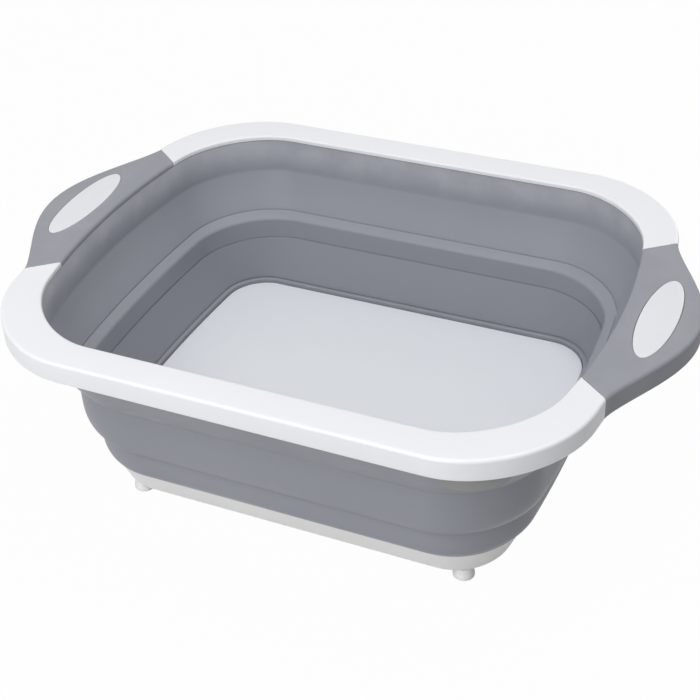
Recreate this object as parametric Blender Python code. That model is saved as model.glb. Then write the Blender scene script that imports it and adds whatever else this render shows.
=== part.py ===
"""Collapsible dish tub with a cutting board floor.

A white rim with two soft side grips carries a soft grey wall. The wall stands in tiers between the
rim and a white base, and folds flat when the rim is pushed down. The base holds a flat board, a drain
with a lift-out plug and four small feet.

Metres, +Z up. The long side runs along X and the feet stand on z = 0. Every height is measured from
there, and depths below the rim are turned into heights once, by level().
"""

import math
from collections import namedtuple

import bmesh
import bpy

# An outline is a rectangle with round corners whose short sides bow outwards.
Outline = namedtuple("Outline", "half_length half_width corner bow")

# Fit between pieces
GAP = 0.0003
SLIDE_GAP = 0.0004
OVERRUN = 0.004
MERGE_DISTANCE = GAP / 10

# Rim
RIM_LENGTH = 0.3266
RIM_WIDTH = 0.2706
RIM_CORNER = 0.0577
RIM_BOW = 0.0143
RIM_PLATE = 0.0028
RIM_EDGE = 0.0012
SKIRT_DEPTH = 0.0116
SKIRT_WALL = 0.0025
RIM_COLLAR_DEPTH = 0.0095
RIM_COLLAR_WALL = 0.0025

# Opening of the tub: how wide the rim's top is, and how the opening's shape differs from the rim's
RIM_TOP_AT_ENDS = 0.0154
RIM_TOP_AT_SIDES = 0.0186
OPENING_CORNER_LESS = 0.0103
OPENING_BOW_MORE = 0.0036

# Upper tier of the wall: straight down from the rim, then in along the upper fold to its lip
WALL = 0.0025
FOLD_DEPTH = 0.0230
FOLD_ROUND = 0.0016
FOLD_STEP = 0.0100
FOLD_HEIGHT = 0.0216
LIP_CORNER_LESS = 0.0014
LIP_BOW = 0.0080
LIP_WALL = 0.0020
LIP_DROP = 0.0011

# Middle tier of the wall: a ledge inside the lip, then a wall that curves in towards the crease
LEDGE_STEP = 0.0064
MIDDLE_HEIGHT = 0.0339
MIDDLE_CORNER_LESS = 0.0010
MIDDLE_BOW = 0.0060
MIDDLE_LEDGE_DROP = 0.0022
MIDDLE_EDGE = 0.0006
MIDDLE_STRAIGHT = 0.0230
CREASE_WALL = 0.0017
BELLY_SHARES = ((0.45, 0.82), (0.78, 0.45))

# Sloped lining between the middle tier and the board
LINING_STEP = 0.0119
LINING_BELOW_LIP = 0.0157
LINING_SEAT = 0.0057
LINING_WALL = 0.0020
SHELF_WIDTH = 0.0024

# Lower collar of the wall, with the narrow shelf round the board
CREASE_GAP = 0.0006
SHELF_DROP = 0.0079
SHELF_LAND = 0.0005
COLLAR_STRAIGHT = 0.0129
COLLAR_LIP = 0.0015
COLLAR_LIP_DROP = 0.0012
COLLAR_BELLY_SHARES = (0.50, 0.72)

# Board
BOARD_BELOW_SHELF = 0.0021
BOARD_CORNER = 0.0224
BOARD_BOW = 0.0046
BOARD_THICKNESS = 0.0040
BOARD_EDGE = 0.0006

# Base tray
BASE_SHOULDER = 0.0055
BASE_BELOW_BOARD = 0.0112
BASE_HEIGHT = 0.0168
BASE_TAPER = 0.0070
BASE_CORNER_MORE = 0.0136
BASE_CORNER_TAPER = 0.0086
BASE_WALL = 0.0030
BASE_FLOOR = 0.0030
BASE_EDGE = 0.0022
RIB_WALL = 0.0020
RIB_END_GAP = 0.0039
LONG_RIB_GAP = 0.0050
CROSS_RIB_GAP = 0.0210
CROSS_RIB_SHARES = (0.0, 0.37, 0.74)

# Feet, below the corners of the base
FOOT_HEIGHT = 0.0074
FOOT_RADIUS = 0.0058
FOOT_MARGIN = 0.0002
FOOT_ANGLE = math.radians(59)
FOOT_EDGE = 0.0008
FOOT_STEM_RADIUS = 0.0020
FOOT_STEM_HEIGHT = 0.0025

# Drain, in the front left corner of the board
DRAIN_INSET = 0.0384
DRAIN_BORE_RADIUS = 0.0145
DRAIN_TUBE_WALL = 0.0025
DRAIN_FLANGE_LAP = 0.0045
DRAIN_FLANGE_THICKNESS = 0.0012
PLUG_HEAD_LAP = 0.0040
PLUG_HEAD_THICKNESS = 0.0022
PLUG_BODY_DEPTH = 0.0090
PLUG_TAPER = 0.0014
PLUG_EDGE = 0.0008
PLUG_TAB_LENGTH = 0.0150
PLUG_TAB_WALL = 0.0030
PLUG_TAB_HEIGHT = 0.0075

# Grips over the short sides, between the round corners and a little behind the middle
GRIP_SHIFT = 0.0049
GRIP_REACH = 0.0240
GRIP_END_MARGIN = 0.0056
GRIP_END_SLANT = 0.0126
GRIP_ROUND_POWER = 1.35
GRIP_DEPTH = 0.0125
GRIP_EDGE = 0.0015
CORE_THICKNESS = 0.0030
CORE_MARGIN = 0.0050
CORE_END_MARGIN = 0.0160
INLAY_OUTSET = 0.0029
INLAY_END_MARGIN = 0.0364
INLAY_HALF_WIDTH = 0.0098
INLAY_PROUD = 0.0004
INLAY_EDGE = 0.0004

# Stacking pad under the rim, in the front right corner
PAD_ANGLE = math.radians(23.5)
PAD_HALF_ANGLE = math.radians(20)
PAD_DROP = 0.0088
PAD_SEAT = 0.0026
PAD_WALL = 0.0042

# How finely round shapes are drawn
CORNER_STEPS = 8
LONG_SIDE_STEPS = 4
SHORT_SIDE_STEPS = 8
ROUND_STEPS = 24
GRIP_STEPS = 20
PAD_STEPS = 10
CROSSING_STEPS = 4
BEVEL_STEPS = 2
SHARP_ANGLE = math.radians(35)


def inside_rim(inset, corner, bow):
    """An outline whose four sides lie the same distance in from the rim's."""
    return Outline(RIM_LENGTH / 2 - inset, RIM_WIDTH / 2 - inset, corner, bow)


# Outlines from the rim inwards, each set by its step in from the one before
RIM = inside_rim(0, RIM_CORNER, RIM_BOW)
OPENING = Outline(
    RIM.half_length - RIM_TOP_AT_ENDS,
    RIM.half_width - RIM_TOP_AT_SIDES,
    RIM.corner - OPENING_CORNER_LESS,
    RIM.bow + OPENING_BOW_MORE,
)
LIP_INSET = RIM_TOP_AT_SIDES + FOLD_STEP
LIP = inside_rim(LIP_INSET, OPENING.corner - LIP_CORNER_LESS, LIP_BOW)
MIDDLE_INSET = LIP_INSET + LEDGE_STEP
MIDDLE_BORE = inside_rim(MIDDLE_INSET, LIP.corner - MIDDLE_CORNER_LESS, MIDDLE_BOW)
BOARD_INSET = MIDDLE_INSET + LINING_STEP
BOARD = inside_rim(BOARD_INSET, BOARD_CORNER, BOARD_BOW)
BASE_INSET = BOARD_INSET - BASE_SHOULDER
BASE_TOP = inside_rim(BASE_INSET, BOARD.corner + BASE_CORNER_MORE, BOARD.bow)
BASE_BOTTOM = inside_rim(BASE_INSET + BASE_TAPER, BASE_TOP.corner - BASE_CORNER_TAPER, BOARD.bow)

# Depths below the rim's top, each set by its step down from the one before
LIP_DEPTH = FOLD_DEPTH + FOLD_HEIGHT
MIDDLE_STRAIGHT_DEPTH = LIP_DEPTH + MIDDLE_STRAIGHT
LINING_TOP_DEPTH = LIP_DEPTH + LINING_BELOW_LIP
CREASE_DEPTH = LIP_DEPTH + MIDDLE_HEIGHT
COLLAR_TOP_DEPTH = CREASE_DEPTH + CREASE_GAP
COLLAR_STRAIGHT_DEPTH = COLLAR_TOP_DEPTH + COLLAR_STRAIGHT
SHELF_DEPTH = COLLAR_TOP_DEPTH + SHELF_DROP
BOARD_DEPTH = SHELF_DEPTH + BOARD_BELOW_SHELF
BASE_TOP_DEPTH = BOARD_DEPTH + BASE_BELOW_BOARD
BASE_DEPTH = BASE_TOP_DEPTH + BASE_HEIGHT
TUB_HEIGHT = BASE_DEPTH + FOOT_HEIGHT

# Where the grips end, and where the drain stands
GRIP_HALF_SPAN = RIM.half_width - RIM.corner - GRIP_END_MARGIN
GRIP_SPLIT_INNER = GRIP_HALF_SPAN - GRIP_END_SLANT
CORE_HALF_SPAN = GRIP_HALF_SPAN - CORE_END_MARGIN
INLAY_X = RIM.half_length + INLAY_OUTSET
INLAY_HALF_LENGTH = GRIP_HALF_SPAN - INLAY_END_MARGIN
DRAIN_X = DRAIN_INSET - BOARD.half_length
DRAIN_Y = DRAIN_INSET - BOARD.half_width
DRAIN_TUBE_RADIUS = DRAIN_BORE_RADIUS + DRAIN_TUBE_WALL
DRAIN_FLANGE_RADIUS = DRAIN_TUBE_RADIUS + DRAIN_FLANGE_LAP

WHITE = ((0.86, 0.87, 0.88), 0.32)
WHITE_SHADE = ((0.74, 0.75, 0.74), 0.38)
GREY = ((0.26, 0.275, 0.30), 0.52)
GREY_GRIP = ((0.33, 0.34, 0.36), 0.55)
CORNERS = (("front_right", 1, -1), ("back_right", 1, 1), ("back_left", -1, 1), ("front_left", -1, -1))
SIDES = (("right", 1), ("left", -1))


def level(depth):
    """The height of something that lies this deep below the rim's top."""
    return TUB_HEIGHT - depth


def grown(outline, by):
    """The outline moved outwards by a distance, or inwards where it is negative."""
    return Outline(outline.half_length + by, outline.half_width + by, outline.corner + by, outline.bow)


def between(first, last, share):
    """The outline part of the way from one to another."""
    return Outline(*(a + (b - a) * share for a, b in zip(first, last)))


def side_x(outline, y):
    """How far out the short side lies at this y."""
    return outline.half_length - outline.bow * (y / outline.half_width) ** 2


def outline_points(outline):
    """The outline's points, anticlockwise from where the right-hand side meets the back corner."""
    centre_x = outline.half_length - outline.corner
    centre_y = outline.half_width - outline.corner
    points = []
    for quarter, (sign_x, sign_y) in enumerate(((1, 1), (-1, 1), (-1, -1), (1, -1))):
        for step in range(CORNER_STEPS + 1):
            angle = math.pi / 2 * (quarter + step / CORNER_STEPS)
            x = sign_x * centre_x + outline.corner * math.cos(angle)
            y = sign_y * centre_y + outline.corner * math.sin(angle)
            points.append((x, y))
        long_side = quarter % 2 == 0
        steps = LONG_SIDE_STEPS if long_side else SHORT_SIDE_STEPS
        for step in range(1, steps):
            share = 1 - 2 * step / steps
            if long_side:
                points.append((sign_x * centre_x * share, sign_y * outline.half_width))
            else:
                points.append((sign_x * outline.half_length, sign_y * centre_y * share))
    pull = outline.bow / outline.half_length
    return [(x * (1 - pull * (y / outline.half_width) ** 2), y) for x, y in points]


def material(name, finish):
    """A plain moulded plastic or rubber."""
    colour, roughness = finish
    made = bpy.data.materials.new(name)
    made.use_nodes = True
    shader = made.node_tree.nodes["Principled BSDF"]
    shader.inputs["Base Color"].default_value = (*colour, 1)
    shader.inputs["Roughness"].default_value = roughness
    shader.inputs["Metallic"].default_value = 0
    return made


def add_object(name, bm, finish=None, parent=None):
    """Turns a bmesh into an object, with its faces pointing outwards."""
    bmesh.ops.recalc_face_normals(bm, faces=bm.faces)
    mesh = bpy.data.meshes.new(name)
    bm.to_mesh(mesh)
    bm.free()
    mesh.shade_smooth()
    mesh.set_sharp_from_angle(angle=SHARP_ANGLE)
    obj = bpy.data.objects.new(name, mesh)
    bpy.context.scene.collection.objects.link(obj)
    if finish:
        mesh.materials.append(material(name, finish))
    obj.parent = parent
    if parent:
        obj.matrix_parent_inverse = parent.matrix_world.inverted()
    return obj


def add_cutter(name, bm):
    """A helper that only cuts or joins, and is left out of the model."""
    obj = add_object(name, bm)
    obj.hide_render = True
    obj.display_type = "WIRE"
    return obj


def combine(obj, helper, operation):
    """Cuts a helper out of an object, or joins it on."""
    modifier = obj.modifiers.new(helper.name, "BOOLEAN")
    modifier.operation = operation
    modifier.solver = "EXACT"
    modifier.object = helper


def add_loop(bm, points):
    """A closed loop of edges through the points."""
    verts = [bm.verts.new(point) for point in points]
    for pair in zip(verts, verts[1:] + verts[:1]):
        bm.edges.new(pair)
    return verts


def draw_on(bm, verts, points):
    """Extrudes a closed loop and moves the new one onto the given points."""
    edges = [bm.edges.get(pair) for pair in zip(verts, verts[1:] + verts[:1])]
    places = {tuple(vert.co): index for index, vert in enumerate(verts)}
    drawn = bmesh.ops.extrude_edge_only(bm, edges=edges)
    fresh = [item for item in drawn["geom"] if isinstance(item, bmesh.types.BMVert)]
    fresh.sort(key=lambda vert: places[tuple(vert.co)])
    for vert, point in zip(fresh, points):
        vert.co = point
    return fresh


def loop_at(section):
    """The points of an (outline, height) pair."""
    outline, z = section
    return [(x, y, z) for x, y in outline_points(outline)]


def ring_mesh(sections):
    """A ring whose cross-section is the closed chain of (outline, height) pairs."""
    bm = bmesh.new()
    loop = add_loop(bm, loop_at(sections[0]))
    for section in sections[1:] + sections[:1]:
        loop = draw_on(bm, loop, loop_at(section))
    bmesh.ops.remove_doubles(bm, verts=bm.verts, dist=MERGE_DISTANCE)
    return bm


def loft_mesh(loops):
    """A body drawn through a chain of closed loops of points, with a face over each end."""
    bm = bmesh.new()
    loop = add_loop(bm, loops[0])
    bm.faces.new(loop)
    for points in loops[1:]:
        loop = draw_on(bm, loop, points)
    bm.faces.new(loop)
    return bm


def stacked_mesh(sections):
    """A solid body drawn up through a chain of (outline, height) pairs."""
    return loft_mesh([loop_at(section) for section in sections])


def prism_mesh(points, bottom, top):
    """A flat plan drawn up from one height to another."""
    bm = bmesh.new()
    face = bm.faces.new([bm.verts.new((x, y, bottom)) for x, y in points])
    raised = bmesh.ops.extrude_face_region(bm, geom=[face])
    verts = [item for item in raised["geom"] if isinstance(item, bmesh.types.BMVert)]
    bmesh.ops.translate(bm, vec=(0, 0, top - bottom), verts=verts)
    return bm


def turned_mesh(profile, x, y):
    """A round piece: (radius, height) pairs from the top down, turned about a vertical axis."""
    bm = bmesh.new()
    verts = [bm.verts.new((x + radius, y, z)) for radius, z in profile]
    edges = [bm.edges.new(pair) for pair in zip(verts, verts[1:])]
    bmesh.ops.spin(
        bm, geom=verts + edges, cent=(x, y, 0), axis=(0, 0, 1), angle=math.tau,
        steps=ROUND_STEPS, use_merge=True,
    )
    bmesh.ops.remove_doubles(bm, verts=bm.verts, dist=MERGE_DISTANCE)
    return bm


def closed_turned_mesh(profile, x, y):
    """A round piece with a bore: the chain of (radius, height) pairs is closed before it is turned."""
    return turned_mesh(list(profile) + [profile[0]], x, y)


def clear_scene():
    for obj in list(bpy.data.objects):
        bpy.data.objects.remove(obj)


def add_empty(name, z, parent=None):
    """Marks a moving body's place, on the middle line that it slides along."""
    empty = bpy.data.objects.new(name, None)
    bpy.context.scene.collection.objects.link(empty)
    empty.location = (0, 0, z)
    empty.empty_display_size = RIM_CORNER
    bpy.context.view_layer.update()
    if parent:
        empty.parent = parent
        empty.matrix_parent_inverse = parent.matrix_world.inverted()
        bpy.context.view_layer.update()
    return empty


def grip_outer_x(y):
    """How far out the grip's edge lies at this y."""
    share = max(math.cos(math.pi / 2 * (y - GRIP_SHIFT) / GRIP_HALF_SPAN), 0)
    return side_x(RIM, y) + GRIP_REACH * share**GRIP_ROUND_POWER


def spread(half_span, steps):
    """Evenly spaced places from -half_span to half_span."""
    return [half_span * (2 * step / steps - 1) for step in range(steps + 1)]


def along_grip(half_span, steps):
    """Evenly spaced places over this half span on either side of a grip's middle."""
    return [GRIP_SHIFT + place for place in spread(half_span, steps)]


def grip_plan(side):
    """Seen from above: along the opening's edge, then out and round the grip's edge."""
    inner = [(side_x(OPENING, y), y) for y in along_grip(GRIP_SPLIT_INNER, SHORT_SIDE_STEPS)]
    outer = [(grip_outer_x(y), y) for y in along_grip(GRIP_HALF_SPAN, GRIP_STEPS)]
    return [(side * x, y) for x, y in inner + outer[::-1]]


def split_y(end, x):
    """Where the rim ends beside a grip at this x: in front of it (end -1) or behind it (end 1)."""
    inner_y = GRIP_SHIFT + end * GRIP_SPLIT_INNER
    outer_y = GRIP_SHIFT + end * GRIP_HALF_SPAN
    inner_x = side_x(OPENING, inner_y)
    slant = (outer_y - inner_y) / (side_x(RIM, outer_y) - inner_x)
    return inner_y + slant * (x - inner_x) + end * GAP


def skirt_split_y(end):
    """Where a grip's slanted end crosses the inside of the skirt, found in a few steps."""
    y = GRIP_SHIFT + end * GRIP_HALF_SPAN
    for _ in range(CROSSING_STEPS):
        y = split_y(end, side_x(RIM, y) - SKIRT_WALL - GAP)
    return y


def grip_place_plan(side):
    """The part of the rim that a grip takes the place of, with room at its two slanted ends."""
    near = OPENING.half_length - OPENING.bow - OVERRUN
    far = RIM.half_length + OVERRUN
    points = [(near, -1), (far, -1), (far, 1), (near, 1)]
    return [(side * x, split_y(end, x)) for x, end in points]


def core_plan(side, margin):
    """The rim's tongue inside a grip, from the rim's collar out to near the grip's edge."""
    steps = along_grip(CORE_HALF_SPAN + margin, GRIP_STEPS)
    inset = OPENING.half_length + GAP + WALL + RIM_COLLAR_WALL / 2 - margin
    inner_ys = (steps[0], GRIP_SHIFT, steps[-1])
    inner = [(inset - OPENING.half_length + side_x(OPENING, y), y) for y in inner_ys]
    outer = [(grip_outer_x(y) - CORE_MARGIN + margin, y) for y in steps]
    return [(side * x, y) for x, y in inner + outer[::-1]]


def skirt_plan(side):
    """The rim's skirt beside a grip, which the grip takes the place of."""
    front, back = skirt_split_y(-1), skirt_split_y(1)
    ys = [(front + back) / 2 + place for place in spread((back - front) / 2, SHORT_SIDE_STEPS)]
    inner = [(side_x(RIM, y) - SKIRT_WALL - GAP, y) for y in ys]
    far = RIM.half_length + OVERRUN
    outer = [(far, split_y(1, far)), (far, split_y(-1, far))]
    return [(side * x, y) for x, y in inner + outer]


def under_rim_plan(side):
    """The space under a grip's cover, inside the rim's skirt."""
    ys = along_grip(GRIP_HALF_SPAN + OVERRUN, SHORT_SIDE_STEPS)
    near = OPENING.half_length - OPENING.bow - OVERRUN
    outer = [(side_x(RIM, y) - SKIRT_WALL, y) for y in ys]
    return [(side * x, y) for x, y in [(near, ys[0])] + outer + [(near, ys[-1])]]


def ellipse_points(side, half_width, half_length):
    """The oval in a grip, long along the grip."""
    points = []
    for step in range(ROUND_STEPS):
        angle = math.tau * step / ROUND_STEPS
        y = GRIP_SHIFT + half_length * math.sin(angle)
        points.append((side * INLAY_X + half_width * math.cos(angle), y))
    return points


def bevel_rim_of(bm, z, width, keep):
    """Rounds the edges of a prism that lie at one height and for which keep(edge) holds."""
    edges = [
        edge for edge in bm.edges
        if all(abs(vert.co.z - z) < MERGE_DISTANCE for vert in edge.verts) and keep(edge)
    ]
    bmesh.ops.bevel(
        bm, geom=edges, offset=width, segments=BEVEL_STEPS, affect="EDGES", profile=0.5, material=-1
    )


def make_rim_frame(parent):
    """The white rim: a top plate, a skirt round its outside and a collar that holds the wall."""
    inner_collar = grown(OPENING, WALL + GAP)
    outer_collar = grown(inner_collar, RIM_COLLAR_WALL)
    inner_skirt = grown(RIM, -SKIRT_WALL)
    sections = [
        (RIM, level(SKIRT_DEPTH)),
        (RIM, level(RIM_EDGE)),
        (grown(RIM, -RIM_EDGE), level(0)),
        (grown(OPENING, RIM_EDGE), level(0)),
        (OPENING, level(RIM_EDGE)),
        (OPENING, level(RIM_PLATE)),
        (inner_collar, level(RIM_PLATE)),
        (inner_collar, level(RIM_COLLAR_DEPTH)),
        (outer_collar, level(RIM_COLLAR_DEPTH)),
        (outer_collar, level(RIM_PLATE)),
        (inner_skirt, level(RIM_PLATE)),
        (inner_skirt, level(SKIRT_DEPTH)),
    ]
    frame = add_object("rim_frame", ring_mesh(sections), WHITE, parent)
    plate_bottom = level(RIM_PLATE + GAP)
    for name, side in SIDES:
        place = prism_mesh(grip_place_plan(side), plate_bottom, level(-OVERRUN))
        combine(frame, add_cutter("cut_plate_" + name, place), "DIFFERENCE")
        skirt = prism_mesh(skirt_plan(side), level(SKIRT_DEPTH + OVERRUN), level(-OVERRUN))
        combine(frame, add_cutter("cut_skirt_" + name, skirt), "DIFFERENCE")
        core = prism_mesh(core_plan(side, 0), plate_bottom - CORE_THICKNESS, plate_bottom)
        combine(frame, add_cutter("join_core_" + name, core), "UNION")


def make_grip(name, side, parent):
    """A soft grip: a cover over the short side of the rim and a rounded edge to hold."""
    bm = prism_mesh(grip_plan(side), level(GRIP_DEPTH), level(0))

    def outside(edge):
        middle = (edge.verts[0].co + edge.verts[1].co) / 2
        along = abs(middle.y - GRIP_SHIFT)
        return abs(middle.x) > grip_outer_x(middle.y) - GRIP_EDGE and along < CORE_HALF_SPAN

    bevel_rim_of(bm, level(0), GRIP_EDGE, outside)
    bevel_rim_of(bm, level(GRIP_DEPTH), GRIP_EDGE, outside)
    grip = add_object("grip_" + name, bm, GREY_GRIP, parent)
    under = prism_mesh(under_rim_plan(side), level(GRIP_DEPTH + OVERRUN), level(RIM_PLATE))
    combine(grip, add_cutter("cut_under_" + name, under), "DIFFERENCE")
    pocket_bottom = level(RIM_PLATE + GAP + CORE_THICKNESS + GAP)
    pocket = prism_mesh(core_plan(side, GAP), pocket_bottom, level(RIM_PLATE))
    combine(grip, add_cutter("cut_pocket_" + name, pocket), "DIFFERENCE")
    oval = ellipse_points(side, INLAY_HALF_WIDTH, INLAY_HALF_LENGTH)
    window = prism_mesh(oval, level(RIM_PLATE + GAP), level(-OVERRUN))
    combine(grip, add_cutter("cut_window_" + name, window), "DIFFERENCE")


def make_inlay(name, side, parent):
    """The white oval that shows in a grip, lying on the rim's tongue."""
    half_width = INLAY_HALF_WIDTH - GAP
    half_length = INLAY_HALF_LENGTH - GAP
    top = level(-INLAY_PROUD)
    bm = prism_mesh(ellipse_points(side, half_width, half_length), level(RIM_PLATE), top)
    bevel_rim_of(bm, top, INLAY_EDGE, lambda edge: True)
    add_object("grip_inlay_" + name, bm, WHITE, parent)


def make_stacking_pad(parent):
    """A crescent below the skirt, where the front side turns into its right-hand corner."""
    outline = grown(RIM, -SKIRT_WALL - GAP)
    centre_x = outline.half_length - outline.corner
    centre_y = outline.half_width - outline.corner
    inner = outline.corner - PAD_WALL
    top = level(SKIRT_DEPTH - PAD_SEAT)
    loops = []
    for share in spread(1, PAD_STEPS):
        angle = PAD_ANGLE + PAD_HALF_ANGLE * share
        bottom = level(SKIRT_DEPTH) - PAD_DROP * math.sqrt(1 - share**2)
        loop = []
        for radius, z in ((outline.corner, top), (inner, top), (inner, bottom), (outline.corner, bottom)):
            y = centre_y + radius * math.cos(angle)
            x = centre_x + radius * math.sin(angle)
            x *= 1 - outline.bow / outline.half_length * (y / outline.half_width) ** 2
            loop.append((x, -y, z))
        loops.append(loop)
    bm = loft_mesh(loops)
    add_object("stacking_pad_front_right", bm, WHITE_SHADE, parent)


def make_upper_tier(parent):
    """The wall's upper tier: straight down from the rim, then in along the upper fold."""
    outer_lip = grown(LIP, LIP_WALL)
    fold_outer = grown(OPENING, WALL)
    sections = [
        (OPENING, level(RIM_PLATE + GAP)),
        (OPENING, level(FOLD_DEPTH - FOLD_ROUND)),
        (grown(OPENING, -FOLD_ROUND / 2), level(FOLD_DEPTH)),
        (LIP, level(LIP_DEPTH)),
        (LIP, level(LIP_DEPTH + LIP_DROP)),
        (outer_lip, level(LIP_DEPTH + LIP_DROP)),
        (grown(fold_outer, -FOLD_ROUND / 2), level(FOLD_DEPTH + WALL)),
        (fold_outer, level(FOLD_DEPTH)),
        (fold_outer, level(RIM_PLATE + GAP)),
    ]
    add_object("wall_upper_tier", ring_mesh(sections), GREY, parent)


def make_middle_tier(parent):
    """The wall's middle tier: a narrow ledge, then a wall that curves in towards the lower crease."""
    outer_top = grown(LIP, -SLIDE_GAP)
    outer_crease = grown(MIDDLE_BORE, CREASE_WALL)
    top = level(LIP_DEPTH + GAP)
    sections = [
        (grown(outer_top, -MIDDLE_EDGE), top),
        (outer_top, top - MIDDLE_EDGE),
        (outer_top, level(MIDDLE_STRAIGHT_DEPTH)),
    ]
    for depth_share, width_share in BELLY_SHARES:
        depth = MIDDLE_STRAIGHT_DEPTH + (CREASE_DEPTH - MIDDLE_STRAIGHT_DEPTH) * depth_share
        sections.append((between(outer_crease, outer_top, width_share), level(depth)))
    sections += [
        (outer_crease, level(CREASE_DEPTH)),
        (MIDDLE_BORE, level(CREASE_DEPTH)),
        (MIDDLE_BORE, top - MIDDLE_LEDGE_DROP - MIDDLE_EDGE),
        (grown(MIDDLE_BORE, MIDDLE_EDGE), top - MIDDLE_LEDGE_DROP),
    ]
    add_object("wall_middle_tier", ring_mesh(sections), GREY, parent)


def lining_foot():
    """The outline of the lining's back where it stands on the shelf round the board."""
    return grown(BOARD, SHELF_WIDTH + LINING_WALL)


def make_lining(parent):
    """The sloped lower fold, seen inside the tub between the middle tier and the board."""
    head = grown(MIDDLE_BORE, -GAP)
    foot = lining_foot()
    bottom = level(SHELF_DEPTH - GAP)
    sections = [
        (head, level(LINING_TOP_DEPTH)),
        (grown(foot, -LINING_WALL), bottom),
        (foot, bottom),
        (head, level(LINING_TOP_DEPTH + LINING_SEAT)),
    ]
    add_object("wall_fold_lining", ring_mesh(sections), GREY, parent)


def make_lower_collar(parent):
    """The wall's lower collar: it grips the base and makes the narrow shelf round the board.

    Its top slopes down from a low lip to the shelf, so that the lining can fold flat onto it.
    """
    outer_top = grown(MIDDLE_BORE, -SLIDE_GAP)
    outer_bottom = grown(BASE_TOP, GAP)
    inner = grown(BOARD, GAP)
    top = level(COLLAR_TOP_DEPTH)
    bottom = level(BASE_TOP_DEPTH - GAP)
    straight = level(COLLAR_STRAIGHT_DEPTH)
    depth_share, width_share = COLLAR_BELLY_SHARES
    sections = [
        (outer_top, top),
        (outer_top, straight),
        (between(outer_bottom, outer_top, width_share), straight + (bottom - straight) * depth_share),
        (outer_bottom, bottom),
        (inner, bottom),
        (inner, level(SHELF_DEPTH)),
        (grown(lining_foot(), SHELF_LAND), level(SHELF_DEPTH)),
        (grown(outer_top, -COLLAR_LIP), top - COLLAR_LIP_DROP),
    ]
    add_object("wall_lower_collar", ring_mesh(sections), GREY, parent)


def make_board(parent):
    """The white board that closes the bottom of the tub, with a recess that the drain's flange lies in."""
    top = level(BOARD_DEPTH)
    bottom = top - BOARD_THICKNESS
    sections = [
        (BOARD, bottom),
        (BOARD, top - BOARD_EDGE),
        (grown(BOARD, -BOARD_EDGE), top),
    ]
    board = add_object("cutting_board", stacked_mesh(sections), WHITE, parent)
    recess = DRAIN_FLANGE_RADIUS + GAP
    recess_floor = top - DRAIN_FLANGE_THICKNESS - GAP
    bore = DRAIN_TUBE_RADIUS + GAP
    profile = [
        (0, top + OVERRUN),
        (recess, top + OVERRUN),
        (recess, recess_floor),
        (bore, recess_floor),
        (bore, bottom - OVERRUN),
        (0, bottom - OVERRUN),
    ]
    seat = add_cutter("cut_board_drain", turned_mesh(profile, DRAIN_X, DRAIN_Y))
    combine(board, seat, "DIFFERENCE")


def make_base_tray(parent):
    """The white base: a shallow tray with ribs, whose upstand carries the board's edge."""
    bottom = FOOT_HEIGHT
    seat = level(BOARD_DEPTH + BOARD_THICKNESS + GAP)
    inner_top = grown(BOARD, -BASE_WALL)
    inner_bottom = grown(BASE_BOTTOM, -BASE_WALL)
    side = between(BASE_BOTTOM, BASE_TOP, BASE_EDGE / BASE_HEIGHT)
    sections = [
        (grown(BASE_BOTTOM, -BASE_EDGE), bottom),
        (side, bottom + BASE_EDGE),
        (BASE_TOP, level(BASE_TOP_DEPTH)),
        (BOARD, level(BASE_TOP_DEPTH)),
        (BOARD, seat),
        (inner_top, seat),
        (inner_bottom, bottom + BASE_FLOOR),
    ]
    tray = add_object("base_tray", stacked_mesh(sections), WHITE_SHADE, parent)
    rib_bottom = bottom + BASE_FLOOR - GAP
    half = RIB_WALL / 2
    end_x = inner_bottom.half_length - RIB_END_GAP
    end_y = inner_bottom.half_width - RIB_END_GAP
    long_place = -DRAIN_Y - DRAIN_TUBE_RADIUS - LONG_RIB_GAP
    for index, place in enumerate((-long_place, long_place)):
        plan = [(-end_x, place - half), (end_x, place - half), (end_x, place + half), (-end_x, place + half)]
        rib = prism_mesh(plan, rib_bottom, seat)
        combine(tray, add_cutter("join_long_rib_%d" % index, rib), "UNION")
    first = DRAIN_X + DRAIN_TUBE_RADIUS + CROSS_RIB_GAP
    for index, share in enumerate(CROSS_RIB_SHARES):
        place = first + (end_x - first) * share
        plan = [(place - half, -end_y), (place + half, -end_y), (place + half, end_y), (place - half, end_y)]
        rib = prism_mesh(plan, rib_bottom, seat - GAP)
        combine(tray, add_cutter("join_cross_rib_%d" % index, rib), "UNION")
    low = bottom - OVERRUN
    high = bottom + BASE_FLOOR + OVERRUN
    radius = DRAIN_TUBE_RADIUS + GAP
    hole = turned_mesh([(0, high), (radius, high), (radius, low), (0, low)], DRAIN_X, DRAIN_Y)
    combine(tray, add_cutter("cut_tray_drain", hole), "DIFFERENCE")
    radius = FOOT_STEM_RADIUS + GAP
    for name, sign_x, sign_y in CORNERS:
        stem = turned_mesh([(0, high), (radius, high), (radius, low), (0, low)], *foot_place(sign_x, sign_y))
        combine(tray, add_cutter("cut_stem_" + name, stem), "DIFFERENCE")


def foot_place(sign_x, sign_y):
    """Where a foot stands: just inside the round corner of the base's underside."""
    reach = BASE_BOTTOM.corner - FOOT_RADIUS - FOOT_MARGIN
    x = BASE_BOTTOM.half_length - BASE_BOTTOM.corner + reach * math.cos(FOOT_ANGLE)
    y = BASE_BOTTOM.half_width - BASE_BOTTOM.corner + reach * math.sin(FOOT_ANGLE)
    x *= 1 - BASE_BOTTOM.bow / BASE_BOTTOM.half_length * (y / BASE_BOTTOM.half_width) ** 2
    return sign_x * x, sign_y * y


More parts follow.
